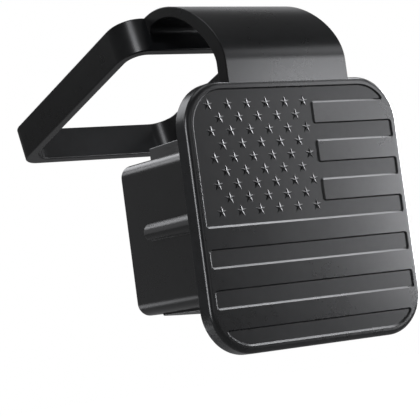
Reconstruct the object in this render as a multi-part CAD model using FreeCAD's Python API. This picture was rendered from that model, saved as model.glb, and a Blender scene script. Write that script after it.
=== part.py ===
import FreeCAD, Part

import math
import os

from FreeCAD import Vector

# Receiver cover, moulded in one piece from black rubber.
# Millimetres. X runs right seen from the front, Y runs back into the receiver, Z is up.
# The origin is the centre of the face plate's back face, where the plate seats on the tube end.

# Face plate
plate_size = 75.0
plate_thickness = 5.5
plate_corner = 13.0
front_round = 0.9
back_round = 0.4

# Recessed field and stripes on the front
rim_width = 2.325
recess_depth = 0.5
wall_run = 0.35
ridge_width = 6.08
end_groove = 4.55
ridge_count = 6
canton_width = 41.9
canton_ridges = 3

# Stars standing in the canton
star_radius = 1.75
star_waist = 0.72
star_height = 0.5
star_inset_x = 5.84
star_inset_z = 4.27
star_pitch_x = 6.637
star_pitch_z = 3.688
star_rows = 9
stars_in_row = 6

# Plug that fills the receiver tube
plug_size = 45.2
plug_length = 53.0
plug_corner = 4.0
plug_end_round = 1.2
plug_wall = 5.0

# Half-round ribs on the plug's sides, thicker at the plate
rib_tip_radius = 2.65
rib_root_radius = 3.1
rib_length = 41.0
rib_lift = 1.2
rib_nose = 1.3

# Flat wedge pad on top of the plug
top_pad_width = 38.0
top_pad_length = 41.0
top_pad_tip = 3.3
top_pad_root = 4.2

# Wedge pad under the plug, bevelled along its sides
bottom_pad_width = 38.0
bottom_pad_length = 45.0
bottom_pad_tip = 1.0
bottom_pad_root = 3.5
bottom_edge_tip = 0.7
bottom_edge_root = 1.3
bottom_bevel = 5.0

# Strap that arches from the plate's top edge to the collar
strap_width = 43.0
strap_setback = 0.2
strap_root = 4.4
strap_tip = 3.9
strap_rise = 5.4
strap_front_pull = 10.7
strap_back_pull = 15.8
strap_inner_front_pull = 6.2
strap_inner_back_pull = 15.8
strap_lead = 0.5
strap_heel = 2.0

# Collar ring that goes round the receiver tube
ring_width = 54.6
ring_length = 67.0
ring_wall = 3.0
ring_band = 10.8
ring_near_corner = 5.0
ring_far_corner = 3.0
ring_tilt = 17.6
ring_back = 31.0
ring_height = 63.1

# Depth that one sub-part reaches into the next, so that they fuse into one body
bite = 1.0

half_plate = plate_size / 2
half_plug = plug_size / 2
field_size = plate_size - 2 * rim_width
half_field = field_size / 2
floor_y = recess_depth - plate_thickness
groove_width = (field_size - ridge_count * ridge_width - 2 * end_groove) / (ridge_count - 1)

ring_along = Vector(0, math.cos(math.radians(ring_tilt)), -math.sin(math.radians(ring_tilt)))
ring_axis = Vector(0, math.sin(math.radians(ring_tilt)), math.cos(math.radians(ring_tilt)))
ring_top_edge = Vector(0, ring_back, ring_height)


def rounded_rectangle(width, height, radius, y, low_radius=None):
    """Closed wire in the plane at y; the two low corners can have their own radius."""
    if low_radius is None:
        low_radius = radius
    edges = []
    corners = [(1, 1, radius), (-1, 1, radius), (-1, -1, low_radius), (1, -1, low_radius)]
    ends = []
    for index, (side_x, side_z, radius) in enumerate(corners):
        centre = Vector(side_x * (width / 2 - radius), y, side_z * (height / 2 - radius))
        start = math.pi / 2 * index
        points = []
        for angle in (start, start + math.pi / 4, start + math.pi / 2):
            points.append(centre + Vector(math.cos(angle), 0, math.sin(angle)) * radius)
        ends.append(points)
    for index, points in enumerate(ends):
        edges.append(Part.Arc(*points).toShape())
        edges.append(Part.makeLine(points[2], ends[(index + 1) % 4][0]))
    return Part.Wire(edges)


def prism(wire, depth):
    """Solid between a closed wire and its copy moved back by depth."""
    return Part.Face(wire).extrude(Vector(0, depth, 0))


def edges_at_y(shape, y):
    """Edges that lie wholly in the plane at y."""
    return [e for e in shape.Edges if abs(e.BoundBox.YMin - y) < 1e-6 and abs(e.BoundBox.YMax - y) < 1e-6]


def pocket(mouth_wire, floor_wire):
    """Cutting solid with sloped walls between two matching wires."""
    return Part.makeLoft([mouth_wire, floor_wire], True, True)


def rectangle(x0, x1, z0, z1, y):
    """Closed wire of a plain rectangle in the plane at y."""
    corners = [Vector(x0, y, z0), Vector(x1, y, z0), Vector(x1, y, z1), Vector(x0, y, z1)]
    return Part.makePolygon(corners + corners[:1])


def groove_tool(x0, x1, z0, z1):
    """Pocket whose mouth in the front face is x0 to x1 by z0 to z1."""
    mouth_y = -plate_thickness - recess_depth
    mouth = rectangle(x0 - wall_run, x1 + wall_run, z0 - wall_run, z1 + wall_run, mouth_y)
    floor = rectangle(x0 + wall_run, x1 - wall_run, z0 + wall_run, z1 - wall_run, floor_y)
    return pocket(mouth, floor)


def groove_heights():
    """Top and bottom height of each groove, from the top one down."""
    heights = []
    top = half_field
    for index in range(ridge_count + 1):
        width = end_groove if index in (0, ridge_count) else groove_width
        heights.append((top, top - width))
        top -= width + ridge_width
    return heights


def field_recess():
    """Canton and grooves as one cutting solid, trimmed to the rounded field."""
    mouth_y = -plate_thickness - recess_depth
    corner = plate_corner - rim_width
    outer = field_size + 2 * wall_run
    inner = field_size - 2 * wall_run
    field = pocket(rounded_rectangle(outer, outer, corner + wall_run, mouth_y),
                   rounded_rectangle(inner, inner, corner - wall_run, floor_y))
    past = half_field + rim_width
    heights = groove_heights()
    canton_bottom = heights[canton_ridges][1]
    tools = [groove_tool(-past, canton_width - half_field, canton_bottom, past)]
    for index, (top, bottom) in enumerate(heights):
        if index == 0:
            top = past
        if index == ridge_count:
            bottom = -past
        start = canton_width - half_field - groove_width if index <= canton_ridges else -past
        tools.append(groove_tool(start, past, bottom, top))
    return field.common(tools[0].fuse(tools[1:]).removeSplitter())


def star(x, z):
    """Five-pointed star with ridged arms, its foot sunk under the recess floor."""
    sink = recess_depth
    grow = (star_height + sink) / star_height
    rim = []
    for index in range(10):
        radius = (star_radius if index % 2 == 0 else star_waist) * grow
        angle = math.radians(90 + 36 * index)
        rim.append(Vector(x + radius * math.cos(angle), floor_y + sink, z + radius * math.sin(angle)))
    peak = Vector(x, floor_y - star_height, z)
    faces = [Part.Face(Part.makePolygon(rim + rim[:1]))]
    for index, point in enumerate(rim):
        faces.append(Part.Face(Part.makePolygon([point, rim[(index + 1) % 10], peak, point])))
    solid = Part.Solid(Part.Shell(faces))
    if solid.Volume < 0:
        solid.reverse()
    return solid


def stars():
    """Rows of stars, every second row one star shorter and half a pitch in."""
    found = []
    for row in range(star_rows):
        shift = row % 2
        for column in range(stars_in_row - shift):
            x = star_inset_x - half_field + (column + shift / 2) * star_pitch_x
            z = half_field - star_inset_z - row * star_pitch_z
            found.append(star(x, z))
    return found


def face_plate():
    """Rounded square plate with the recessed stripes and the stars."""
    slab = prism(rounded_rectangle(plate_size, plate_size, plate_corner, -plate_thickness), plate_thickness)
    slab = slab.makeFillet(front_round, edges_at_y(slab, -plate_thickness))
    slab = slab.makeFillet(back_round, edges_at_y(slab, 0))
    return slab.cut(field_recess()).fuse(stars())


def plug():
    """Rounded square plug with a blind hollow, open at its back end."""
    body = prism(rounded_rectangle(plug_size, plug_size, plug_corner, -bite), plug_length + bite)
    body = body.makeFillet(plug_end_round, edges_at_y(body, plug_length))
    return body


def plug_hollow():
    """Cutting solid for the plug's hollow."""
    inside = plug_size - 2 * plug_wall
    corner = max(plug_corner - plug_wall, 0) + plug_end_round
    return prism(rounded_rectangle(inside, inside, corner, 0), plug_length + bite)


def side_rib(side):
    """Half-round rib along one side of the plug, with a rounded nose."""
    foot = Vector(side * half_plug, 0, rib_lift)
    bar = Part.makeCone(rib_root_radius, rib_tip_radius, rib_length, foot, Vector(0, 1, 0))
    bar = bar.makeFillet(rib_nose, edges_at_y(bar, rib_length))
    reach = plug_wall / 2
    width = reach + rib_root_radius
    keep = Part.makeBox(width, rib_length, 2 * rib_root_radius)
    start_x = half_plug - reach if side > 0 else -half_plug - rib_root_radius
    keep.translate(Vector(start_x, 0, rib_lift - rib_root_radius))
    return bar.common(keep)


def top_pad():
    """Wedge pad on the plug's top, thicker at the plate."""
    low = half_plug - bite
    profile = [(-bite, low), (top_pad_length, low), (top_pad_length, half_plug + top_pad_tip)]
    profile.append((-bite, half_plug + top_pad_root))
    corners = [Vector(-top_pad_width / 2, y, z) for y, z in profile]
    face = Part.Face(Part.makePolygon(corners + corners[:1]))
    return face.extrude(Vector(top_pad_width, 0, 0))


def bottom_section(y, edge, full):
    """Closed wire of the bottom pad's section: edge is its depth at the sides, full in the middle."""
    half = bottom_pad_width / 2
    flat = half - bottom_bevel
    low = half_plug - bite
    profile = [(half, low), (half, half_plug + edge), (flat, half_plug + full)]
    profile += [(-x, depth) for x, depth in reversed(profile)]
    corners = [Vector(x, y, -depth) for x, depth in profile]
    return Part.makePolygon(corners + corners[:1])


def bottom_pad():
    """Wedge pad under the plug, deeper at the plate."""
    root = bottom_section(0, bottom_edge_root, bottom_pad_root)
    tip = bottom_section(bottom_pad_length, bottom_edge_tip, bottom_pad_tip)
    return Part.makeLoft([root, tip], True, True)


def strap_curve(start, front_pull, end, back_pull):
    """Smooth arch that leaves start upwards and reaches end along the ring."""
    curve = Part.BezierCurve()
    curve.setPoles([start, start + Vector(0, 0, front_pull), end - ring_along * back_pull, end])
    return curve.toShape()


def strap():
    """Flat strap that rises from the plate and arches back to the ring."""
    x = Vector(-strap_width / 2, 0, 0)
    front_y = strap_setback - plate_thickness
    foot_z = half_plate - rim_width / 2
    arch_z = half_plate + strap_rise
    outer_foot = x + Vector(0, front_y, foot_z)
    outer_start = x + Vector(0, front_y, arch_z)
    outer_end = x + ring_top_edge - ring_along * strap_lead
    outer_tail = x + ring_top_edge + ring_along * (ring_wall / 2)
    drop = ring_axis * -strap_tip
    inner_start = outer_start + Vector(0, strap_root, 0)
    inner_foot = outer_foot + Vector(0, strap_root, 0)
    edges = [
        Part.makeLine(outer_foot, outer_start),
        strap_curve(outer_start, strap_front_pull, outer_end, strap_back_pull),
        Part.makeLine(outer_end, outer_tail),
        Part.makeLine(outer_tail, outer_tail + drop),
        Part.makeLine(outer_tail + drop, outer_end + drop),
        strap_curve(inner_start, strap_inner_front_pull, outer_end + drop, strap_inner_back_pull),
        Part.makeLine(inner_start, inner_foot),
        Part.makeLine(inner_foot, outer_foot),
    ]
    return Part.Face(Part.Wire(edges)).extrude(Vector(strap_width, 0, 0))


def heel():
    """Concave fillet where the strap's underside meets the ring."""
    x = Vector(-strap_width / 2, 0, 0)
    inside = ring_along * (ring_wall / 2)
    corner = x + ring_top_edge - ring_axis * strap_tip
    above = corner + ring_axis * (strap_tip / 2)
    front = corner - ring_along * strap_heel
    below = corner - ring_axis * strap_heel
    centre = front - ring_axis * strap_heel
    middle = centre + (ring_along + ring_axis) * (strap_heel / math.sqrt(2))
    front_top = front + ring_axis * (strap_tip / 2)
    edges = [
        Part.Arc(front, middle, below).toShape(),
        Part.makeLine(below, below + inside),
        Part.makeLine(below + inside, above + inside),
        Part.makeLine(above + inside, front_top),
        Part.makeLine(front_top, front),
    ]
    return Part.Face(Part.Wire(edges)).extrude(Vector(strap_width, 0, 0))


def ring():
    """Rounded rectangular band that goes round the receiver tube."""
    outer_w = ring_width + 2 * ring_wall
    outer_l = ring_length + 2 * ring_wall
    far_outer = ring_far_corner + ring_wall
    near_outer = ring_near_corner + ring_wall
    outer = prism(rounded_rectangle(outer_w, outer_l, far_outer, 0, near_outer), ring_band)
    inner = prism(rounded_rectangle(ring_width, ring_length, ring_far_corner, -bite, ring_near_corner),
                  ring_band + 2 * bite)
    band = outer.cut(inner)
    band.translate(Vector(0, 0, outer_l / 2))
    band.rotate(Vector(0, 0, 0), Vector(1, 0, 0), -90 - ring_tilt)
    band.translate(ring_top_edge)
    return band


def receiver_cover():
    """Whole moulding as one solid."""
    pieces = [plug(), side_rib(-1), side_rib(1), top_pad(), bottom_pad(), strap(), heel(), ring()]
    body = face_plate().fuse(pieces).cut(plug_hollow()).removeSplitter()
    return body


os.makedirs("parts", exist_ok=True)
cover = receiver_cover()
print("solids", len(cover.Solids), "valid", cover.isValid(), "volume", round(cover.Volume))
print("box", [round(v, 2) for v in (cover.BoundBox.XLength, cover.BoundBox.YLength, cover.BoundBox.ZLength)])
cover.Solids[0].exportStep("parts/receiver_cover.step")
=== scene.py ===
import math

import bpy
from bpy.props import FloatProperty, FloatVectorProperty, IntProperty, PointerProperty
from mathutils import Matrix, Vector
from mathutils.geometry import tessellate_polygon


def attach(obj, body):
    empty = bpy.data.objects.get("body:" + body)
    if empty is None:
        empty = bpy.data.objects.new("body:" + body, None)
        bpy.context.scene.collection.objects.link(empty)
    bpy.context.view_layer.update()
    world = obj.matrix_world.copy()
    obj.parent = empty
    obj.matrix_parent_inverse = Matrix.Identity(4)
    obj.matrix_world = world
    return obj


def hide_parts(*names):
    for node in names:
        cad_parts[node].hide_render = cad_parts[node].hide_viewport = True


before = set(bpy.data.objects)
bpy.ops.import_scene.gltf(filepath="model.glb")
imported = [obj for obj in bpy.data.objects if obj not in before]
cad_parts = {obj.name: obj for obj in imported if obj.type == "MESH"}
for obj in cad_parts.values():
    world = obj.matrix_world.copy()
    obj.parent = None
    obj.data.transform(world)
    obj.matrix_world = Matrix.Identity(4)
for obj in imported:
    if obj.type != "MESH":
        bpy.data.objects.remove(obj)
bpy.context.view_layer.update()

bl_info = {
    "name": "Receiver Cover",
    "version": (1, 0, 0),
    "blender": (4, 5, 0),
    "location": "View3D > Sidebar > Receiver Cover",
    "description": "Builds a moulded rubber receiver cover with a relief plate, a plug, a strap and a collar ring",
    "category": "Add Mesh",
}

MM = 0.001
COVER_NODE = "receiver_cover"
ROOT_BODY = "root"


# Shader expressions

# Sockets of a Mix node that is set to colours
MIX_FACTOR, MIX_FIRST, MIX_SECOND, MIX_RESULT = 0, 6, 7, 2


class Socket:
    """A shader value that takes part in Python expressions; one without a link starts a tree."""

    def __init__(self, tree, link=None):
        self.tree = tree
        self.link = link

    def node(self, kind, settings=None, inputs=None, output=0):
        """Add a node: its type, its settings, then the values or links of its sockets."""
        made = self.tree.nodes.new(kind)
        for name, value in (settings or {}).items():
            setattr(made, name, value)
        for name, value in (inputs or {}).items():
            if isinstance(value, Socket):
                self.tree.links.new(value.link, made.inputs[name])
            else:
                made.inputs[name].default_value = value
        return Socket(self.tree, made.outputs[output] if made.outputs else None)

    def math(self, operation, *values):
        """A Math node on some values."""
        return self.node("ShaderNodeMath", {"operation": operation}, dict(enumerate(values)))

    def __add__(self, other):
        return self.math("ADD", self, other)

    def __radd__(self, other):
        return self.math("ADD", other, self)

    def __sub__(self, other):
        return self.math("SUBTRACT", self, other)

    def __rsub__(self, other):
        return self.math("SUBTRACT", other, self)

    def __mul__(self, other):
        return self.math("MULTIPLY", self, other)

    def __rmul__(self, other):
        return self.math("MULTIPLY", other, self)

    def step(self, low, high):
        """0 below low, 1 above high, and smooth between."""
        return self.node("ShaderNodeMapRange", {"interpolation_type": "SMOOTHSTEP"},
                         {"Value": self, "From Min": low, "From Max": high})

    def blend(self, first, second):
        """Colour that is first where this value is 0 and second where it is 1."""
        return self.node("ShaderNodeMix", {"data_type": "RGBA"},
                         {MIX_FACTOR: self, MIX_FIRST: (*first, 1), MIX_SECOND: (*second, 1)}, MIX_RESULT)

    def length(self):
        """Length of this vector."""
        return self.node("ShaderNodeVectorMath", {"operation": "LENGTH"}, {0: self}, "Value")

    def noise(self, scale, detail, roughness):
        """Noise at this place, with NOISE_MIDDLE as its middle value."""
        return self.node("ShaderNodeTexNoise", {}, {"Vector": self, "Scale": scale, "Detail": detail,
                                                   "Roughness": roughness})


# Materials

NOISE_MIDDLE = 0.5

# Noises in the rubber, each as scale on a metre, detail and roughness
CLOUD = (38.0, 3.0, 0.55)
MOTTLE = (420.0, 4.0, 0.6)
GRAIN = (5200.0, 2.0, 0.5)
PORES = (1700.0, 3.0, 0.6)
MAIN_SHARE, REST_SHARE = 0.6, 0.4       # of the first and the second noise where two are added

WEAR_RANGE = (0.38, 0.66)               # noise at which the rubber starts and ends to be lighter
CLOUD_GLOSS, MOTTLE_GLOSS = 0.06, 0.03  # how much roughness follows each noise
GRAIN_DEPTH = 0.03 * MM
RUBBER_IOR = 1.5
SATIN, DULL = "satin_rubber", "dull_rubber"
SPECULAR_LEVEL = {SATIN: 0.5, DULL: 0.36}

FLOOR_NOISE = (2.0, 2.0, 0.5)
FLOOR_NOISE_RANGE = (0.2, 0.8)
FLOOR_SHADE = 0.985                     # the floor's darker tone, as a share of its colour
FLOOR_ROUGHNESS, FLOOR_SPECULAR = 0.9, 0.1
FLOOR_GLOW = 0.76                       # what the camera sees beside the reflected light, near the cover
GLOW_RANGE = (0.5, 1.6)                 # distances from which that rises, and at which it is white


def new_material(name):
    """An empty node material and the start of its tree."""
    material = bpy.data.materials.new(name)
    material.use_nodes = True
    material.node_tree.nodes.clear()
    return material, Socket(material.node_tree)


def moulded_rubber(name, finish, roughness):
    """Black rubber with a fine mould grain and a slightly uneven gloss."""
    material, start = new_material(name)
    place = start.node("ShaderNodeTexCoord", output="Object")
    cloud, mottle, grain, pores = (place.noise(*kind) for kind in (CLOUD, MOTTLE, GRAIN, PORES))
    wear = (cloud * MAIN_SHARE + mottle * REST_SHARE).step(*WEAR_RANGE)
    uneven = roughness + (cloud - NOISE_MIDDLE) * CLOUD_GLOSS + (mottle - NOISE_MIDDLE) * MOTTLE_GLOSS
    height = grain * MAIN_SHARE + pores * REST_SHARE
    bump = start.node("ShaderNodeBump", {}, {
        "Strength": finish.grain, "Distance": GRAIN_DEPTH, "Height": height})
    shader = start.node("ShaderNodeBsdfPrincipled", {}, {
        "Base Color": wear.blend(finish.dark, finish.light), "Roughness": uneven, "Normal": bump,
        "IOR": RUBBER_IOR, "Specular IOR Level": SPECULAR_LEVEL[name]})
    start.node("ShaderNodeOutputMaterial", {}, {"Surface": shader})
    return material


def rubber(name=SATIN):
    """The satin rubber, or the dull one of the relief's floor; each is made once."""
    finish = bpy.context.scene.rubber_finish
    roughness = finish.satin if name == SATIN else finish.dull
    return bpy.data.materials.get(name) or moulded_rubber(name, finish, roughness)


def pale_floor(colour):
    """Pale floor that is white to the camera far away and keeps the cover's shadow."""
    material, start = new_material("pale_floor")
    place = start.node("ShaderNodeTexCoord", output="Object")
    tone = place.noise(*FLOOR_NOISE).step(*FLOOR_NOISE_RANGE).blend(colour, [c * FLOOR_SHADE for c in colour])
    seen = start.node("ShaderNodeLightPath", output="Is Camera Ray")
    far = place.length().step(*GLOW_RANGE)
    glow = seen * (FLOOR_GLOW + far * (1 - FLOOR_GLOW))
    shader = start.node("ShaderNodeBsdfPrincipled", {}, {
        "Base Color": tone, "Roughness": FLOOR_ROUGHNESS, "Specular IOR Level": FLOOR_SPECULAR,
        "Emission Color": glow.blend((0, 0, 0), (1, 1, 1)), "Emission Strength": 1.0})
    start.node("ShaderNodeOutputMaterial", {}, {"Surface": shader})
    return material


# Mesh drafting

# Planes that outlines are drawn in: u and v along the outline, the third axis through it
FRONT_PLANE = Matrix(((1, 0, 0, 0), (0, 0, 1, 0), (0, 1, 0, 0), (0, 0, 0, 1)))
SIDE_PLANE = Matrix(((0, 0, 1, 0), (1, 0, 0, 0), (0, 1, 0, 0), (0, 0, 0, 1)))


class Draft:
    """Points, faces and the normal of each face corner of one piece, drawn on a plane."""

    def __init__(self, plane):
        self.plane = plane
        self.points = []
        self.faces = []
        self.normals = []
        self.finish = 0
        self.finishes = []

    def point(self, u, v, height):
        """Add a point and return its index."""
        self.points.append(self.plane @ Vector((u, v, height)))
        return len(self.points) - 1

    def loop(self, shape, offset, height, out, up):
        """Points of an outline moved by offset and height, with normals from out and up."""
        turned = self.plane.to_3x3()
        return [(self.point(u + nu * offset, v + nv * offset, height), turned @ Vector((nu * out, nv * out, up)))
                for (u, v), (nu, nv) in shape]

    def loops(self, shape, profile):
        """Loops of an outline along a profile of (offset, height, out, up)."""
        return [self.loop(shape, *stop) for stop in profile]

    def face(self, corners):
        """Add a face of (index, normal) corners, turned to the side that its normals point to."""
        positions = [self.points[index] for index, _ in corners]
        across = Vector()
        for here, after in zip(positions, positions[1:] + positions[:1]):
            across += here.cross(after)
        if across.dot(sum((normal for _, normal in corners), Vector())) < 0:
            corners = corners[::-1]
        self.faces.append([index for index, _ in corners])
        self.finishes.append(self.finish)
        self.normals.extend(normal.normalized() for _, normal in corners)

    def skin(self, loops):
        """Quads between each loop and the next; all have the same number of points."""
        for first, second in zip(loops, loops[1:]):
            for i in range(len(first)):
                j = (i + 1) % len(first)
                self.face([first[i], first[j], second[j], second[i]])

    def fill(self, loops, up):
        """Flat face inside the first loop and outside the others."""
        normal = self.plane.to_3x3() @ Vector((0, 0, up))
        indices = [index for loop in loops for index, _ in loop]
        back = self.plane.inverted()
        flat = [[(back @ self.points[index]).to_2d().to_3d() for index, _ in loop] for loop in loops]
        for triangle in tessellate_polygon(flat):
            self.face([(indices[i], normal) for i in triangle])

    def solid(self, loops):
        """Skin over the loops, closed flat at both ends."""
        self.skin(loops)
        self.fill([loops[0]], -1)
        self.fill([loops[-1]], 1)

    def make(self, name, *materials):
        """Turn the draft into a piece that rides on the root body."""
        mesh = bpy.data.meshes.new(name)
        mesh.from_pydata([tuple(p) for p in self.points], [], self.faces)
        mesh.shade_smooth()
        mesh.normals_split_custom_set([tuple(n) for n in self.normals])
        for material in materials:
            mesh.materials.append(material)
        mesh.polygons.foreach_set("material_index", self.finishes)
        piece = bpy.data.objects.new(name, mesh)
        bpy.context.collection.objects.link(piece)
        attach(piece, ROOT_BODY)
        return piece


def outline(corners):
    """Points and outward normals of a closed path of (u, v, radius, steps), anticlockwise.

    A corner with no steps stays one point, with the middle of its two normals.
    """
    made = []
    count = len(corners)
    for i, (u, v, radius, steps) in enumerate(corners):
        here = Vector((u, v))
        way_in = (here - Vector(corners[i - 1][:2])).normalized()
        way_out = (Vector(corners[(i + 1) % count][:2]) - here).normalized()
        bend = math.atan2(way_in.cross(way_out), way_in.dot(way_out))
        normal = Vector((way_in.y, -way_in.x))
        if steps < 1:
            made.append((tuple(here), tuple(Matrix.Rotation(bend / 2, 2) @ normal)))
            continue
        side = 1 if bend > 0 else -1
        start = here - way_in * radius * math.tan(abs(bend) / 2)
        centre = start - normal * radius * side
        for step in range(steps + 1):
            toward = Matrix.Rotation(bend * step / steps, 2) @ normal
            made.append((tuple(centre + toward * radius * side), tuple(toward)))
    return made


def rectangle(width, height, radius, steps, low=None):
    """Outline of a rectangle about the origin; low is the radius of its two low corners."""
    low = radius if low is None else low
    w, h = width / 2, height / 2
    return outline([(w, -h, low, steps), (w, h, radius, steps), (-w, h, radius, steps), (-w, -h, low, steps)])


def circle(radius, steps):
    """Points and outward normals of a circle about the origin."""
    angles = (math.tau * step / steps for step in range(steps))
    return [((radius * math.cos(a), radius * math.sin(a)), (math.cos(a), math.sin(a))) for a in angles]


def arc(offset, height, radius, start, end, steps):
    """Profile stops round (offset, height), by degrees from outward to up; hollow if the radius is negative."""
    stops = []
    for step in range(steps + 1):
        angle = math.radians(start + (end - start) * step / steps)
        out, up = math.cos(angle), math.sin(angle)
        stops.append((offset + radius * out, height + radius * up, out, up))
    return stops


def slab_profile(width, edge, steps):
    """Profile across a slab that lies evenly on both sides of the plane, with rounded edges."""
    half = width / 2
    return arc(-edge, edge - half, edge, -90, 0, steps) + arc(-edge, half - edge, edge, 0, 90, steps)


# Settings

class CoverSizes(bpy.types.PropertyGroup):
    """Sizes of the cover"""
    plate: FloatProperty(
        name="Plate", description="Width and height of the face plate", default=75 * MM, unit="LENGTH")
    plate_thickness: FloatProperty(
        name="Plate thickness", description="Front of the rim to the back face", default=5.5 * MM, unit="LENGTH")
    plate_corner: FloatProperty(
        name="Plate corner", description="Corner radius of the face plate", default=13 * MM, unit="LENGTH")
    front_round: FloatProperty(
        name="Front round", description="Radius of the plate's front edge", default=1.4 * MM, unit="LENGTH")
    rim: FloatProperty(
        name="Rim", description="Width of the flat rim round the relief", default=2.325 * MM, unit="LENGTH")
    relief: FloatProperty(
        name="Relief", description="Depth of the recessed field", default=0.5 * MM, unit="LENGTH")
    ridge: FloatProperty(
        name="Ridge", description="Width of a raised stripe", default=6.08 * MM, unit="LENGTH")
    end_groove: FloatProperty(
        name="End groove", description="Width of the first and last recessed stripe", default=4.55 * MM,
        unit="LENGTH")
    star_field: FloatProperty(
        name="Star field", description="Width of the star field", default=41.9 * MM, unit="LENGTH")
    star: FloatProperty(
        name="Star", description="Radius of a star", default=1.8 * MM, unit="LENGTH")
    star_height: FloatProperty(
        name="Star height", description="Peak of a star over the relief's floor", default=0.3 * MM, unit="LENGTH")
    star_columns: IntProperty(
        name="Stars in a row", description="Stars in each longer row", default=6, min=2)
    star_rows: IntProperty(
        name="Star rows", description="Rows of stars", default=9, min=1)
    plug: FloatProperty(
        name="Plug", description="Width and height of the plug", default=45.2 * MM, unit="LENGTH")
    plug_length: FloatProperty(
        name="Plug length", description="Back of the plate to the end of the plug", default=53 * MM, unit="LENGTH")
    plug_wall: FloatProperty(
        name="Plug wall", description="Wall round the plug's hollow", default=5 * MM, unit="LENGTH")
    strap: FloatProperty(
        name="Strap", description="Width of the strap", default=43 * MM, unit="LENGTH")
    ring: FloatProperty(
        name="Ring", description="Inner width of the collar ring", default=54.6 * MM, unit="LENGTH")
    ring_length: FloatProperty(
        name="Ring length", description="Inner length of the collar ring", default=67 * MM, unit="LENGTH")
    ring_wall: FloatProperty(
        name="Ring wall", description="Thickness of the ring's band", default=3 * MM, unit="LENGTH")
    ring_band: FloatProperty(
        name="Ring band", description="Height of the ring's band", default=10.8 * MM, unit="LENGTH")
    ring_tilt: FloatProperty(
        name="Ring tilt", description="Slope of the ring down to the back", default=math.radians(17.6),
        subtype="ANGLE", unit="ROTATION")


class RubberFinish(bpy.types.PropertyGroup):
    """Colours and gloss of the rubber"""
    dark: FloatVectorProperty(
        name="Dark", description="Darker tone of the rubber", default=(0.005, 0.0053, 0.0058), subtype="COLOR")
    light: FloatVectorProperty(
        name="Light", description="Lighter tone of the rubber", default=(0.009, 0.0094, 0.0102), subtype="COLOR")
    satin: FloatProperty(
        name="Satin", description="Roughness of the outer faces", default=0.28, min=0, max=1, subtype="FACTOR")
    dull: FloatProperty(
        name="Dull", description="Roughness of the relief's floor", default=0.37, min=0, max=1, subtype="FACTOR")
    grain: FloatProperty(
        name="Grain", description="Strength of the mould grain", default=0.15, min=0, max=1, subtype="FACTOR")


class StudioSettings(bpy.types.PropertyGroup):
    """Floor, lights, surround and camera of the stage"""
    floor: FloatVectorProperty(
        name="Floor", description="Colour of the floor", default=(0.42, 0.42, 0.42), subtype="COLOR")
    key: FloatProperty(
        name="Key light", description="Brightness of the soft boxes at the front right", default=17.2, min=0)
    top: FloatProperty(
        name="Top light", description="Brightness of the wide soft box overhead", default=1.6, min=0)
    wide: FloatProperty(
        name="Wide light", description="Brightness of the wide soft boxes in front and at the sides", default=0.7,
        min=0)
    back: FloatProperty(
        name="Back light", description="Brightness of the soft box above and behind", default=3.0, min=0)
    rear: FloatProperty(
        name="Rear light", description="Brightness of the soft box at the right and behind", default=0.6, min=0)
    low: FloatProperty(
        name="Low light", description="Brightness of the small lights low behind the cover", default=9.0, min=0)
    edge: FloatProperty(
        name="Edge light", description="Brightness of the soft box for the relief's edges", default=14.0, min=0)
    star: FloatProperty(
        name="Star light", description="Brightness of the soft boxes for the stars", default=16.0, min=0)
    wall: FloatProperty(
        name="Wall light", description="Brightness of the light for the relief's walls", default=32.0, min=0)
    strip: FloatProperty(
        name="Strip light", description="Brightness of the tall light at the left", default=11.0, min=0)
    front: FloatProperty(
        name="Front light", description="Brightness of the small light above the camera", default=16.0, min=0)
    world: FloatProperty(
        name="Surround", description="Level of the plain surround", default=0.25, min=0)
    mirrored: FloatProperty(
        name="Mirrored surround", description="Level at which gloss shows the plain surround", default=0.125,
        min=0)
    azimuth: FloatProperty(
        name="Azimuth", description="View turned to the right of straight ahead", default=math.radians(35.9105),
        subtype="ANGLE", unit="ROTATION")
    elevation: FloatProperty(
        name="Elevation", description="View from above, or from below where negative",
        default=math.radians(-4.1796), subtype="ANGLE", unit="ROTATION")
    roll: FloatProperty(
        name="Roll", description="Camera turned about its view, anticlockwise", default=math.radians(-7.6237),
        subtype="ANGLE", unit="ROTATION")
    distance: FloatProperty(
        name="Distance", description="Camera to the point that it looks at", default=505.549 * MM, unit="LENGTH")
    aim: FloatVectorProperty(
        name="Aim", description="Point that the camera looks at", default=(-29.5589 * MM, 0, 2.7782 * MM),
        subtype="TRANSLATION", unit="LENGTH")
    lens: FloatProperty(
        name="Lens", description="Focal length on the camera's sensor", default=158.952, min=1, unit="CAMERA")


def cover_sizes():
    """The sizes that are set in the sidebar."""
    return bpy.context.scene.cover_sizes


# Face plate

GROOVES = 7                             # recessed stripes, with a raised one between each two
GROOVES_BESIDE = 4                      # of these, the ones that open into the star field
GROOVE_CORNER, COMB_CORNER = 0.7 * MM, 0.5 * MM
POINTED_CORNER = 0.45 * MM              # where a stripe meets the plate's round corner
ROUND_STEPS = 12                        # steps along that corner
BACK_ROUND = 0.4 * MM

WALL_CREST = 0.07 * MM                  # radius at the top and the foot of the relief's walls
FLAT_WALL, STEEP_WALL = 40, 56          # lean of the walls, in degrees
WALL_TURN = 0.9                         # how quickly one lean turns into the other round a corner


def field_half(sizes):
    """Half the width and height of the recessed field."""
    return sizes.plate / 2 - sizes.rim


def stripe_edges(sizes):
    """Top and bottom height of each recessed stripe, from the top down."""
    top = field_half(sizes)
    groove = (2 * top - (GROOVES - 1) * sizes.ridge - 2 * sizes.end_groove) / (GROOVES - 2)
    edges = []
    for index in range(GROOVES):
        width = sizes.end_groove if index in (0, GROOVES - 1) else groove
        edges.append((top, top - width))
        top -= width + sizes.ridge
    return edges


def round_points(u, v, radius, start, span, steps):
    """Plain corners of a path on an arc about (u, v), one for each of some steps of the span."""
    angles = (start + span * step / ROUND_STEPS for step in steps)
    return [(u + radius * math.cos(a), v + radius * math.sin(a), 0, 0) for a in angles]


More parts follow.
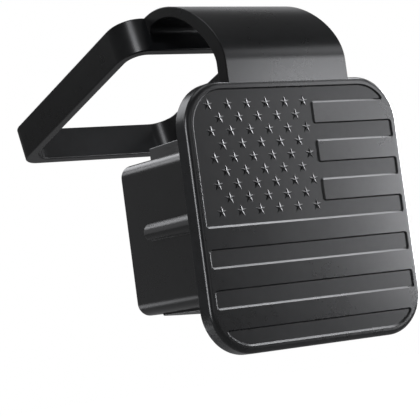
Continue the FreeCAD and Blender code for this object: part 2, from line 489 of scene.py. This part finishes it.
def recess_outlines(sizes):
    """Outlines of the star field with the stripes beside it, and of each full recessed stripe."""
    half = field_half(sizes)
    big = sizes.plate_corner - sizes.rim
    middle = half - big
    edges = stripe_edges(sizes)
    field_right = sizes.star_field - half
    reach = math.sqrt(big ** 2 - (big - sizes.end_groove) ** 2)
    start = math.asin((big - sizes.end_groove) / big)
    span = math.pi / 2 - start

    beside = edges[:GROOVES_BESIDE]
    foot = beside[-1][1]
    comb = [(-half, foot, GROOVE_CORNER, 4), (half, foot, GROOVE_CORNER, 4)]
    for (top, _), (_, above) in zip(beside[:0:-1], beside[-2::-1]):
        comb += [(half, top, GROOVE_CORNER, 4), (field_right, top, COMB_CORNER, 4),
                 (field_right, above, COMB_CORNER, 4), (half, above, GROOVE_CORNER, 4)]
    comb[-1] = (middle + reach, beside[0][1], POINTED_CORNER, 3)
    comb += round_points(middle, middle, big, start, span, range(1, ROUND_STEPS + 1))
    comb.append((-half, half, big, 16))
    shapes = [outline(comb)]

    for top, bottom in edges[GROOVES_BESIDE:-1]:
        corners = (-half, bottom), (half, bottom), (half, top), (-half, top)
        shapes.append(outline([(u, v, GROOVE_CORNER, 4) for u, v in corners]))

    top = edges[-1][0]
    low = [(-middle - reach, top, POINTED_CORNER, 3)]
    low += round_points(-middle, -middle, big, math.pi + start, span, range(1, ROUND_STEPS + 1))
    low += round_points(middle, -middle, big, 3 * math.pi / 2, span, range(ROUND_STEPS))
    low.append((middle + reach, top, POINTED_CORNER, 3))
    shapes.append(outline(low))
    return shapes


def wall_profile(sizes, slope):
    """Profile of the relief's wall from the rim's face down to the recessed floor."""
    crest, thick = WALL_CREST, sizes.plate_thickness
    lean = math.radians(slope)
    rise = sizes.relief - 2 * crest * (1 - math.cos(lean))
    run = 2 * crest * math.sin(lean) + rise / math.tan(lean)
    profile = arc(run / 2, crest - thick, crest, -90, -90 - slope, 3)
    return profile + arc(-run / 2, sizes.relief - crest - thick, -crest, -90 - slope, -90, 3)


def add_wall(draft, shape, sizes):
    """The wall round a recess, flatter where it faces up or right; returns its two edges."""
    loops = []
    for flat, steep in zip(wall_profile(sizes, FLAT_WALL), wall_profile(sizes, STEEP_WALL)):
        loop = []
        for point in shape:
            across, up = point[1]
            share = min(max(0.5 - (across + up) * WALL_TURN, 0), 1)
            stop = [a * share + b * (1 - share) for a, b in zip(flat, steep)]
            loop.extend(draft.loop([point], *stop))
        loops.append(loop)
    draft.skin(loops)
    return loops[0], loops[-1]


class COVER_OT_face_plate(bpy.types.Operator):
    """Add the face plate with its rim and its recessed stripes"""
    bl_idname = "cover.face_plate"
    bl_label = "Face Plate"

    def execute(self, context):
        sizes = cover_sizes()
        draft = Draft(FRONT_PLANE)
        nose = sizes.front_round
        square = rectangle(sizes.plate, sizes.plate, sizes.plate_corner, 20)
        profile = arc(-BACK_ROUND, -BACK_ROUND, BACK_ROUND, 90, 0, 4)
        profile += arc(-nose, nose - sizes.plate_thickness, nose, 0, -90, 8)
        sides = draft.loops(square, profile)
        draft.skin(sides)
        draft.fill([sides[0]], 1)
        mouths, feet = zip(*(add_wall(draft, shape, sizes) for shape in recess_outlines(sizes)))
        draft.fill([sides[-1], *mouths], -1)
        draft.finish = 1
        for foot in feet:
            draft.fill([foot], -1)
        plate = draft.make("face_plate", rubber(), rubber(DULL))
        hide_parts(COVER_NODE)
        return {"FINISHED"}


# Stars

STAR_ARMS = 5
STAR_WAIST = 0.43                       # inner corners of a star, as a share of its radius
STAR_SINK = 0.15 * MM                   # how deep a star goes into the relief's floor
STAR_PITCH, ROW_PITCH = 6.637 * MM, 3.688 * MM
FIRST_STAR = (5.84 * MM, 4.27 * MM)     # from the field's left and upper edge


def star_places(sizes):
    """Centre of each star, every second row a star shorter and half a pitch in."""
    left, top = FIRST_STAR[0] - field_half(sizes), field_half(sizes) - FIRST_STAR[1]
    places = []
    for row in range(sizes.star_rows):
        shift = row % 2
        for column in range(sizes.star_columns - shift):
            places.append((left + (column + shift / 2) * STAR_PITCH, top - row * ROW_PITCH))
    return places


def add_star(draft, place, radius, floor, height):
    """A closed star with ridged arms, sunk a little into the floor."""
    corners = 2 * STAR_ARMS
    rings = []
    for level in (floor + STAR_SINK, floor):
        ring = []
        for index in range(corners):
            reach = radius * (STAR_WAIST if index % 2 else 1)
            angle = math.radians(90 + 360 / corners * index)
            ring.append(draft.point(place[0] + reach * math.cos(angle), place[1] + reach * math.sin(angle), level))
        rings.append(ring)
    sunk, edge = rings
    peak = draft.point(*place, floor - height)
    bottom = draft.point(*place, floor + STAR_SINK)
    centre = draft.plane @ Vector((*place, floor))
    for i in range(corners):
        j = (i + 1) % corners
        for face in ((edge[i], edge[j], peak), (sunk[i], sunk[j], edge[j], edge[i]), (sunk[j], sunk[i], bottom)):
            a, b, c = (draft.points[index] for index in face[:3])
            normal = (b - a).cross(c - a).normalized()
            if normal.dot((a + b + c) / 3 - centre) < 0:
                normal = -normal
            draft.face([(index, normal) for index in face])


class COVER_OT_stars(bpy.types.Operator):
    """Add the raised stars of the star field"""
    bl_idname = "cover.stars"
    bl_label = "Stars"

    def execute(self, context):
        sizes = cover_sizes()
        draft = Draft(FRONT_PLANE)
        for place in star_places(sizes):
            add_star(draft, place, sizes.star, sizes.relief - sizes.plate_thickness, sizes.star_height)
        draft.make("stars", rubber())
        return {"FINISHED"}


# Plug, ribs and pads

PLUG_CORNER, HOLLOW_CORNER = 4 * MM, 1.2 * MM
RIB_LENGTH, PAD_LENGTH, LOW_PAD_LENGTH = 41 * MM, 41 * MM, 45 * MM
PAD_WIDTH = 38 * MM
RIB_HEIGHT = 1.2 * MM                   # of the ribs' middle over the plug's
SUNK, RIB_SUNK = 1 * MM, 0.5 * MM       # how deep a piece goes into what carries it


class COVER_OT_plug(bpy.types.Operator):
    """Add the square plug with its hollow, open at the back"""
    bl_idname = "cover.plug"
    bl_label = "Plug"

    def execute(self, context):
        sizes = cover_sizes()
        draft = Draft(FRONT_PLANE)
        end, lip, foot = 1.2 * MM, 0.5 * MM, 0.8 * MM
        outer = rectangle(sizes.plug, sizes.plug, PLUG_CORNER, 10)
        sides = draft.loops(outer, [(0, -SUNK, 1, 0)] + arc(-end, sizes.plug_length - end, end, 0, 90, 6))
        draft.skin(sides)
        draft.fill([sides[0]], -1)
        inside = sizes.plug - 2 * sizes.plug_wall
        profile = arc(lip, sizes.plug_length - lip, lip, 90, 180, 4) + arc(-foot, foot, -foot, 180, 90, 4)
        walls = draft.loops(rectangle(inside, inside, HOLLOW_CORNER, 5), profile)
        draft.skin(walls)
        draft.fill([sides[-1], walls[0]], 1)
        draft.fill([walls[-1]], 1)
        draft.make("plug_body", rubber())
        return {"FINISHED"}


class COVER_OT_ribs(bpy.types.Operator):
    """Add a half-round rib on each side of the plug"""
    bl_idname = "cover.ribs"
    bl_label = "Side Ribs"

    def execute(self, context):
        root, tip, nose = 3.1 * MM, 2.65 * MM, 1.3 * MM
        profile = [(0, -RIB_SUNK, 1, 0)] + arc(tip - root - nose, RIB_LENGTH - nose, nose, 0, 90, 8)
        for name, side in (("rib_left", -1), ("rib_right", 1)):
            middle = Matrix.Translation((side * cover_sizes().plug / 2, 0, RIB_HEIGHT))
            draft = Draft(middle @ FRONT_PLANE)
            draft.solid(draft.loops(circle(root, 40), profile))
            draft.make(name, rubber())
        return {"FINISHED"}


def add_top_pad(half):
    """The pad on top of the plug, lower towards the back."""
    edge, back_edge = 0.3 * MM, 0.45 * MM
    root, tip = 4.2 * MM, 3.3 * MM
    wedge = outline([(-SUNK, half - SUNK, edge, 2), (PAD_LENGTH, half - SUNK, edge, 2),
                     (PAD_LENGTH, half + tip, back_edge, 5), (-SUNK, half + root, edge, 2)])
    draft = Draft(SIDE_PLANE)
    draft.solid(draft.loops(wedge, slab_profile(PAD_WIDTH, edge, 4)))
    draft.make("pad_top", rubber())


def add_bottom_pad(half):
    """The shallower pad under the plug, bevelled at both sides."""
    bevel, edge, side_edge, bevel_edge = 5 * MM, 0.3 * MM, 0.35 * MM, 0.8 * MM
    root, tail = (1.3 * MM, 3.5 * MM), (0.7 * MM, 1 * MM)   # depth at the sides and in the middle
    end, turned = LOW_PAD_LENGTH, 0.3 * edge
    wide, flat = PAD_WIDTH / 2, PAD_WIDTH / 2 - bevel
    # Where each section stands, its depths, how far it is drawn in, and its normal outward and along
    sections = ((0, root, 0, 1, 0), (end - edge, tail, 0, 1, 0), (end - turned, tail, turned, 0.7, 0.7),
                (end, tail, edge, 0, 1))
    draft = Draft(FRONT_PLANE)
    loops = []
    for y, (side, full), shrink, out, up in sections:
        section = outline([(-flat, -half - full, bevel_edge, 3), (flat, -half - full, bevel_edge, 3),
                           (wide, -half - side, side_edge, 4), (wide, SUNK - half, edge, 2),
                           (-wide, SUNK - half, edge, 2), (-wide, -half - side, side_edge, 4)])
        loops.append(draft.loop(section, -shrink, y, out, up))
    draft.solid(loops)
    draft.make("pad_bottom", rubber())


class COVER_OT_pads(bpy.types.Operator):
    """Add the wedge pads above and below the plug"""
    bl_idname = "cover.pads"
    bl_label = "Wedge Pads"

    def execute(self, context):
        half = cover_sizes().plug / 2
        add_top_pad(half)
        add_bottom_pad(half)
        return {"FINISHED"}


# Strap and ring

RING_EDGE = Vector((31 * MM, 63.1 * MM))        # y and z of the ring's upper edge, where the strap meets it
STRAP_ROOT, STRAP_TIP = 4.4 * MM, 3.9 * MM      # the strap's thickness at the plate and at the ring
STRAP_BEHIND = 0.2 * MM                         # how far its front lies behind the plate's
STRAP_SUNK, ARCH_START = 1.2 * MM, 5.4 * MM     # its foot below the plate's top edge, the arch's start above
ARCH_GAP = 0.5 * MM                             # the arch ends this far before the ring's edge
OUTER_PULLS = (10.7 * MM, 15.8 * MM)            # how far the arch's outer curve runs on at its two ends:
INNER_PULLS = (6.2 * MM, 14 * MM)               # straight up at the plate, and along the ring
HEEL_ROUND, HEEL_STEPS = 2 * MM, 8              # under the strap, where it meets the ring
HEEL_CLEAR = 0.001 * MM                         # from the heel to the face of the ring's band
HEEL_DEPTH, HEEL_REACH = 4.5 * MM, 1.5 * MM     # of the strap's end inside the band
TAIL_REACH, TAIL_LIFT = 0.8 * MM, 0.015 * MM    # of its top over the band's upper face
TAIL_SLOPE = (0.7 * MM, 0.6 * MM)               # from there, further in and down
STRAP_ROUND, RING_ROUND = 0.32 * MM, 0.45 * MM
SHARP = 0.12 * MM                               # radius of the strap's crisp corners
FAR_CORNER, NEAR_CORNER = 6 * MM, 8 * MM        # the ring's corners, outside and inside
FAR_INNER_CORNER, NEAR_INNER_CORNER = 6.5 * MM, 5 * MM


def ring_axes(sizes):
    """Direction along the ring to the back, and its upward axis, in the side plane."""
    along = Vector((math.cos(sizes.ring_tilt), -math.sin(sizes.ring_tilt)))
    return along, Vector((-along.y, along.x))


def arch_curve(start, end, along, pulls, count):
    """Path corners on a smooth curve that leaves start straight up and comes to end along the ring."""
    first = start + Vector((0, pulls[0]))
    second = end - along * pulls[1]
    corners = []
    for step in range(1, count):
        t = step / count
        s = 1 - t
        corners.append((*(start * s ** 3 + first * 3 * s * s * t + second * 3 * s * t * t + end * t ** 3), 0, 0))
    return corners


def strap_path(sizes):
    """Side view of the strap: up inside the arch to the ring, into its band, and back over the arch."""
    along, axis = ring_axes(sizes)
    front = STRAP_BEHIND - sizes.plate_thickness
    foot = sizes.plate / 2 - STRAP_SUNK
    outer_start = Vector((front, sizes.plate / 2 + ARCH_START))
    outer_end = RING_EDGE - along * ARCH_GAP
    inner_start = outer_start + Vector((STRAP_ROOT, 0))
    inner_end = outer_end - axis * STRAP_TIP
    heel = RING_EDGE - axis * STRAP_TIP
    heel_low = heel - axis * HEEL_DEPTH
    tail = RING_EDGE + along * TAIL_REACH
    lift = axis * TAIL_LIFT

    path = [(front + STRAP_ROOT, foot, SHARP, 2), (*inner_start, 0, 0)]
    path += arch_curve(inner_start, inner_end - along * HEEL_ROUND, along, INNER_PULLS, 36)
    path.append((*(heel - along * HEEL_CLEAR), HEEL_ROUND, HEEL_STEPS))
    path.append((*heel_low, SHARP, 1))
    path.append((*(heel_low + along * HEEL_REACH), SHARP, 1))
    path.append((*(tail + along * TAIL_SLOPE[0] - axis * TAIL_SLOPE[1]), SHARP, 1))
    path.append((*(tail + lift), SHARP, 2))
    path.append((*(outer_end + lift), 0, 0))
    path += reversed(arch_curve(outer_start, outer_end, along, OUTER_PULLS, 40))
    path += [(*outer_start, 0, 0), (front, foot, SHARP, 2)]
    return path


class COVER_OT_strap(bpy.types.Operator):
    """Add the strap that arches from the plate to the collar ring"""
    bl_idname = "cover.strap"
    bl_label = "Strap"

    def execute(self, context):
        sizes = cover_sizes()
        draft = Draft(SIDE_PLANE)
        draft.solid(draft.loops(outline(strap_path(sizes)), slab_profile(sizes.strap, STRAP_ROUND, 5)))
        draft.make("strap", rubber())
        return {"FINISHED"}


class COVER_OT_ring(bpy.types.Operator):
    """Add the collar ring that goes round the receiver tube"""
    bl_idname = "cover.ring"
    bl_label = "Collar Ring"

    def execute(self, context):
        sizes = cover_sizes()
        along, axis = ring_axes(sizes)
        wide = sizes.ring + 2 * sizes.ring_wall
        length = sizes.ring_length + 2 * sizes.ring_wall
        middle = RING_EDGE + along * length / 2
        # u runs across the ring, v along it to the back, and the third axis up its own way
        plane = Matrix(((-1, 0, 0, 0), (0, along.x, axis.x, middle.x), (0, along.y, axis.y, middle.y), (0, 0, 0, 1)))
        draft = Draft(plane)
        edge, band = RING_ROUND, sizes.ring_band
        outer = rectangle(wide, length, FAR_CORNER, 14, NEAR_CORNER)
        inner = rectangle(sizes.ring, sizes.ring_length, FAR_INNER_CORNER, 14, NEAR_INNER_CORNER)
        loops = draft.loops(outer, arc(-edge, -edge, edge, 90, 0, 4) + arc(-edge, edge - band, edge, 0, -90, 4))
        loops += draft.loops(inner, arc(edge, edge - band, edge, -90, -180, 4) + arc(edge, -edge, edge, 180, 90, 4))
        draft.skin(loops + loops[:1])
        draft.make("collar_ring", rubber())
        return {"FINISHED"}


# Stage

FLOOR_LEVEL, FLOOR_REACH = -120 * MM, 3
LAMP_COLOUR = (0.958, 0.966, 1.0)
LAMP_CENTRE = Vector((0, 0.02, 0.01))   # the point that every lamp faces
SENSOR_WIDTH = 36
NEAREST_SEEN = 0.01

# Lamps, each as its name, its azimuth to the right of straight in front and its elevation in degrees, its
# distance, width and height in metres, the brightness that it follows and its share of that, and the only
# pieces that it lights
LAMPS = (
    ("key_light", 52, 0, 0.28, 0.065, 0.080, "key", 1, ()),
    ("fill_light", 40, 15, 0.28, 0.070, 0.065, "key", 0.29, ()),
    ("strap_light", 38, 8, 0.40, 0.090, 0.080, "key", 0.30, ("strap",)),
    ("high_light", 47, 34, 0.28, 0.080, 0.070, "key", 0.12, ()),
    ("side_light", 80, 24, 0.28, 0.060, 0.080, "key", 0.4, ()),
    ("top_light", 0, 88, 0.80, 0.50, 0.50, "top", 1, ()),
    ("wide_light", -6, 10, 0.90, 0.60, 0.50, "wide", 1, ("face_plate", "strap")),
    ("right_light", 108, 8, 0.80, 0.40, 0.40, "wide", 2, ()),
    ("left_light", -84, 10, 0.80, 0.40, 0.40, "wide", 1, ("plug_body", "pad_top")),
    ("back_light", -172, 33, 0.60, 0.48, 0.22, "back", 1, ()),
    ("rear_light", 138, 22, 0.60, 0.20, 0.30, "rear", 1, ()),
    ("front_light", -32, 34, 0.60, 0.18, 0.14, "front", 1, ("collar_ring",)),
    ("low_light", -172, -30, 0.26, 0.16, 0.08, "low", 1, ("face_plate", "pad_bottom")),
    ("low_left_light", -152, -20, 0.26, 0.08, 0.05, "low", 0.25, ("plug_body",)),
    ("plug_light", -146, 5, 0.40, 0.30, 0.20, "wide", 0.25, ("plug_body",)),
    ("rib_light", -146, 5, 0.40, 0.30, 0.20, "wide", 0.8, ("rib_left", "pad_top")),
    ("wall_light", 110, 6, 0.60, 0.20, 0.30, "wall", 1, ("face_plate",)),
    ("strip_light", -92, 2, 0.60, 0.20, 0.50, "strip", 1, ("face_plate",)),
    ("edge_light", 82, 51, 0.80, 0.22, 0.20, "edge", 1, ("face_plate",)),
    ("star_light", 81, 16, 0.60, 0.20, 0.20, "star", 1, ("stars",)),
    ("star_top_light", 60, 42, 0.60, 0.16, 0.16, "star", 0.5, ("stars",)),
)


def add_floor(studio):
    """The pale floor under the cover."""
    corners = [(x * FLOOR_REACH, y * FLOOR_REACH, FLOOR_LEVEL) for x, y in ((-1, -1), (1, -1), (1, 1), (-1, 1))]
    mesh = bpy.data.meshes.new("floor")
    mesh.from_pydata(corners, [], [(0, 1, 2, 3)])
    mesh.materials.append(pale_floor(studio.floor))
    floor = bpy.data.objects.new("floor", mesh)
    bpy.context.collection.objects.link(floor)
    return floor


def linked_collection(name, pieces):
    """A collection that is only there for a lamp's light or shadow linking."""
    collection = bpy.data.collections.new(name)
    for piece in pieces:
        collection.objects.link(piece)
    return collection


def soft_box(name, azimuth, elevation, distance, width, height, brightness, only):
    """A rectangular lamp that faces the cover; its power is brightness times pi times its area."""
    az, el = math.radians(azimuth), math.radians(elevation)
    way = Vector((math.sin(az) * math.cos(el), -math.cos(az) * math.cos(el), math.sin(el)))
    lamp = bpy.data.lights.new(name, "AREA")
    lamp.shape = "RECTANGLE"
    lamp.size = width
    lamp.size_y = height
    lamp.color = LAMP_COLOUR
    lamp.energy = brightness * math.pi * width * height
    lamp_object = bpy.data.objects.new(name, lamp)
    lamp_object.location = LAMP_CENTRE + way * distance
    lamp_object.rotation_euler = (-way).to_track_quat("-Z", "Y").to_euler()
    lamp_object.visible_camera = False
    bpy.context.collection.objects.link(lamp_object)
    if only:
        lit = linked_collection(name + "_lit", [bpy.data.objects[piece] for piece in only])
        lamp_object.light_linking.receiver_collection = lit
    return lamp_object


def add_lamps(studio, floor):
    """The soft boxes; the plate's own parts don't shade its walls from the wall light."""
    lamps = {name: soft_box(name, *place, getattr(studio, setting) * share, only)
             for name, *place, setting, share, only in LAMPS}
    lamps["wall_light"].light_linking.blocker_collection = linked_collection("wall_light_shaded", [floor])


def add_surround(scene, studio):
    """A plain surround that is white to the camera and dimmer as light and in gloss."""
    world = bpy.data.worlds.new("plain_surround")
    scene.world = world
    world.use_nodes = True
    world.node_tree.nodes.clear()
    start = Socket(world.node_tree)
    seen, glass, gloss = (start.node("ShaderNodeLightPath", output=ray)
                          for ray in ("Is Camera Ray", "Is Transmission Ray", "Is Glossy Ray"))
    plain = start.math("MAXIMUM", seen, glass)
    strength = plain + (1 - plain) * (studio.world + gloss * (studio.mirrored - studio.world))
    shader = start.node("ShaderNodeBackground", {}, {"Color": (1, 1, 1, 1), "Strength": strength})
    start.node("ShaderNodeOutputWorld", {}, {"Surface": shader})


def add_camera(scene, studio):
    """The camera, at its distance from the aim and turned about its view."""
    lens = bpy.data.cameras.new("camera")
    lens.lens = studio.lens
    lens.sensor_width = SENSOR_WIDTH
    lens.clip_start = NEAREST_SEEN
    camera = bpy.data.objects.new("camera", lens)
    az, el = studio.azimuth, studio.elevation
    look = Vector((math.sin(az) * math.cos(el), math.cos(az) * math.cos(el), -math.sin(el)))
    camera.location = Vector(studio.aim) - look * studio.distance
    turned = look.to_track_quat("-Z", "Y") @ Matrix.Rotation(studio.roll, 3, "Z").to_quaternion()
    camera.rotation_euler = turned.to_euler()
    bpy.context.collection.objects.link(camera)
    scene.camera = camera


class COVER_OT_stage(bpy.types.Operator):
    """Add the floor, the soft lights, the surround and the camera"""
    bl_idname = "cover.stage"
    bl_label = "Stage"

    def execute(self, context):
        scene = context.scene
        studio = scene.cover_studio
        floor = add_floor(studio)
        add_lamps(studio, floor)
        add_surround(scene, studio)
        scene.view_settings.view_transform = "Standard"
        add_camera(scene, studio)
        return {"FINISHED"}


# Add-on

PIECES = (COVER_OT_face_plate, COVER_OT_stars, COVER_OT_plug, COVER_OT_ribs, COVER_OT_pads, COVER_OT_strap,
          COVER_OT_ring)


class COVER_PT_sidebar(bpy.types.Panel):
    """Sizes and buttons of the receiver cover"""
    bl_label = "Receiver Cover"
    bl_space_type = "VIEW_3D"
    bl_region_type = "UI"
    bl_category = "Receiver Cover"

    def draw(self, context):
        scene = context.scene
        for group in (scene.cover_sizes, scene.rubber_finish, scene.cover_studio):
            box = self.layout.box()
            for name in group.__annotations__:
                box.prop(group, name)
        for operator in (*PIECES, COVER_OT_stage):
            self.layout.operator(operator.bl_idname)


CLASSES = (CoverSizes, RubberFinish, StudioSettings, *PIECES, COVER_OT_stage, COVER_PT_sidebar)


def register():
    for cls in CLASSES:
        bpy.utils.register_class(cls)
    bpy.types.Scene.cover_sizes = PointerProperty(type=CoverSizes)
    bpy.types.Scene.rubber_finish = PointerProperty(type=RubberFinish)
    bpy.types.Scene.cover_studio = PointerProperty(type=StudioSettings)


def unregister():
    del bpy.types.Scene.cover_studio
    del bpy.types.Scene.rubber_finish
    del bpy.types.Scene.cover_sizes
    for cls in reversed(CLASSES):
        bpy.utils.unregister_class(cls)


def main():
    """Build the cover and its stage."""
    register()
    bpy.ops.cover.face_plate()
    bpy.ops.cover.stars()
    bpy.ops.cover.plug()
    bpy.ops.cover.ribs()
    bpy.ops.cover.pads()
    bpy.ops.cover.strap()
    bpy.ops.cover.ring()
    bpy.ops.cover.stage()
    bpy.context.view_layer.update()


if __name__ == "__main__":
    main()
